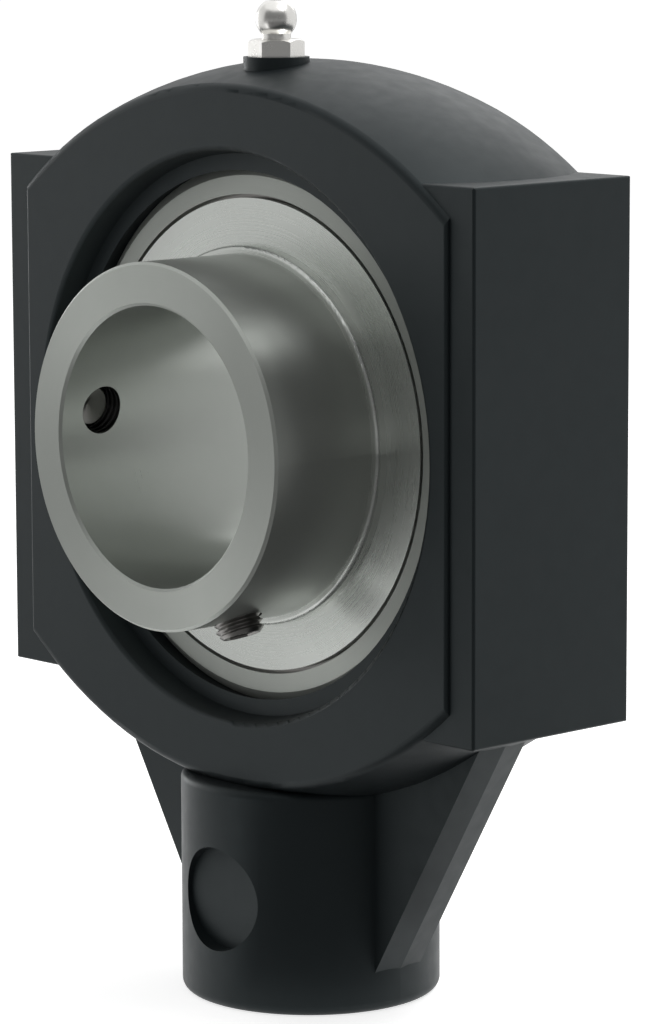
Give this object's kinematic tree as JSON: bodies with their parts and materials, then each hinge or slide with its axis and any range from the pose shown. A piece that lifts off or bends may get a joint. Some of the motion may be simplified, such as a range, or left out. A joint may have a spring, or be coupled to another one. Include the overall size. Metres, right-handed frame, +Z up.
{
  "type": "hanger bearing unit",
  "caption": "Self-aligning ball bearing insert with set screws in a moulded hanger housing, with a ribbed pipe-socket stem and a grease nipple.",
  "frame": {"origin": "centre of the bearing, on the shaft axis and in the middle plane of the outer ring", "axes": "+Y along the shaft, away from the set screws; +Z up, away from the stem; +X to the right seen from the set-screw side"},
  "size_m": [0.0984, 0.0492, 0.1447],
  "materials": {
    "black_plastic": "fine matt moulding",
    "ring_steel": "turned and ground",
    "polished_steel": "polished",
    "sheet_steel": "pressed sheet",
    "cage_steel": "pressed sheet",
    "seal_rubber": "matt",
    "screw_steel": "dark",
    "plated_steel": "bright plated"
  },
  "bodies": {
    "housing": {"housing": "black_plastic", "grease_nipple": "plated_steel", "nipple_spring": "cage_steel"},
    "nipple_ball": {"nipple_ball": "polished_steel"},
    "outer_ring": {"outer_ring": "ring_steel", "seal_core_front": "screw_steel", "seal_core_rear": "screw_steel", "seal_lip_front": "seal_rubber", "seal_lip_rear": "seal_rubber"},
    "inner_ring": {"inner_ring": "ring_steel", "flinger_front": "sheet_steel", "flinger_rear": "sheet_steel"},
    "cage": {"cage_front": "cage_steel", "cage_rear": "cage_steel", "cage_rivets": "cage_steel"},
    "ball_1": {"ball_1": "polished_steel"},
    "ball_2": {"ball_2": "polished_steel"},
    "ball_3": {"ball_3": "polished_steel"},
    "ball_4": {"ball_4": "polished_steel"},
    "ball_5": {"ball_5": "polished_steel"},
    "ball_6": {"ball_6": "polished_steel"},
    "ball_7": {"ball_7": "polished_steel"},
    "ball_8": {"ball_8": "polished_steel"},
    "ball_9": {"ball_9": "polished_steel"},
    "set_screw_1": {"set_screw_1": "screw_steel"},
    "set_screw_2": {"set_screw_2": "screw_steel"}
  },
  "joints": [
    {"name": "align_tilt", "type": "hinge", "parent": "housing", "child": "outer_ring", "pos_m": [0, 0, 0], "axis": [1, 0, 0], "range_deg": [-3, 3]},
    {"name": "inner_spin", "type": "hinge", "parent": "outer_ring", "child": "inner_ring", "pos_m": [0, 0, 0], "axis": [0, 1, 0], "continuous": true},
    {"name": "cage_orbit", "type": "hinge", "parent": "outer_ring", "child": "cage", "pos_m": [0, 0, 0], "axis": [0, 1, 0], "continuous": true},
    {"name": "ball_1_spin", "type": "hinge", "parent": "cage", "child": "ball_1", "pos_m": [0, 0, 0.03], "axis": [0, 1, 0], "continuous": true},
    {"name": "ball_2_spin", "type": "hinge", "parent": "cage", "child": "ball_2", "pos_m": [-0.01928, 0, 0.02298], "axis": [0, 1, 0], "continuous": true},
    {"name": "ball_3_spin", "type": "hinge", "parent": "cage", "child": "ball_3", "pos_m": [-0.02954, 0, 0.00521], "axis": [0, 1, 0], "continuous": true},
    {"name": "ball_4_spin", "type": "hinge", "parent": "cage", "child": "ball_4", "pos_m": [-0.02598, 0, -0.015], "axis": [0, 1, 0], "continuous": true},
    {"name": "ball_5_spin", "type": "hinge", "parent": "cage", "child": "ball_5", "pos_m": [-0.01026, 0, -0.02819], "axis": [0, 1, 0], "continuous": true},
    {"name": "ball_6_spin", "type": "hinge", "parent": "cage", "child": "ball_6", "pos_m": [0.01026, 0, -0.02819], "axis": [0, 1, 0], "continuous": true},
    {"name": "ball_7_spin", "type": "hinge", "parent": "cage", "child": "ball_7", "pos_m": [0.02598, 0, -0.015], "axis": [0, 1, 0], "continuous": true},
    {"name": "ball_8_spin", "type": "hinge", "parent": "cage", "child": "ball_8", "pos_m": [0.02954, 0, 0.00521], "axis": [0, 1, 0], "continuous": true},
    {"name": "ball_9_spin", "type": "hinge", "parent": "cage", "child": "ball_9", "pos_m": [0.01928, 0, 0.02298], "axis": [0, 1, 0], "continuous": true},
    {"name": "set_screw_1_travel", "type": "slide", "parent": "inner_ring", "child": "set_screw_1", "axis": [0.989, 0, -0.1478], "range_m": [-0.002, 0.0022]},
    {"name": "set_screw_2_travel", "type": "slide", "parent": "inner_ring", "child": "set_screw_2", "axis": [-0.3665, 0, 0.9304], "range_m": [-0.002, 0.0004]},
    {"name": "nipple_valve", "type": "slide", "parent": "housing", "child": "nipple_ball", "axis": [0, 0, -1], "range_m": [0, 0.0008], "stiffness_N_per_m": 400, "springref_m": -0.001, "deforming": ["nipple_spring"]}
  ],
  "couplings": [
    {"joint": "cage_orbit", "follows": "inner_spin", "ratio": 0.4},
    {"joint": "ball_1_spin", "follows": "inner_spin", "ratio": -2.4},
    {"joint": "ball_2_spin", "follows": "inner_spin", "ratio": -2.4},
    {"joint": "ball_3_spin", "follows": "inner_spin", "ratio": -2.4},
    {"joint": "ball_4_spin", "follows": "inner_spin", "ratio": -2.4},
    {"joint": "ball_5_spin", "follows": "inner_spin", "ratio": -2.4},
    {"joint": "ball_6_spin", "follows": "inner_spin", "ratio": -2.4},
    {"joint": "ball_7_spin", "follows": "inner_spin", "ratio": -2.4},
    {"joint": "ball_8_spin", "follows": "inner_spin", "ratio": -2.4},
    {"joint": "ball_9_spin", "follows": "inner_spin", "ratio": -2.4}
  ]
}
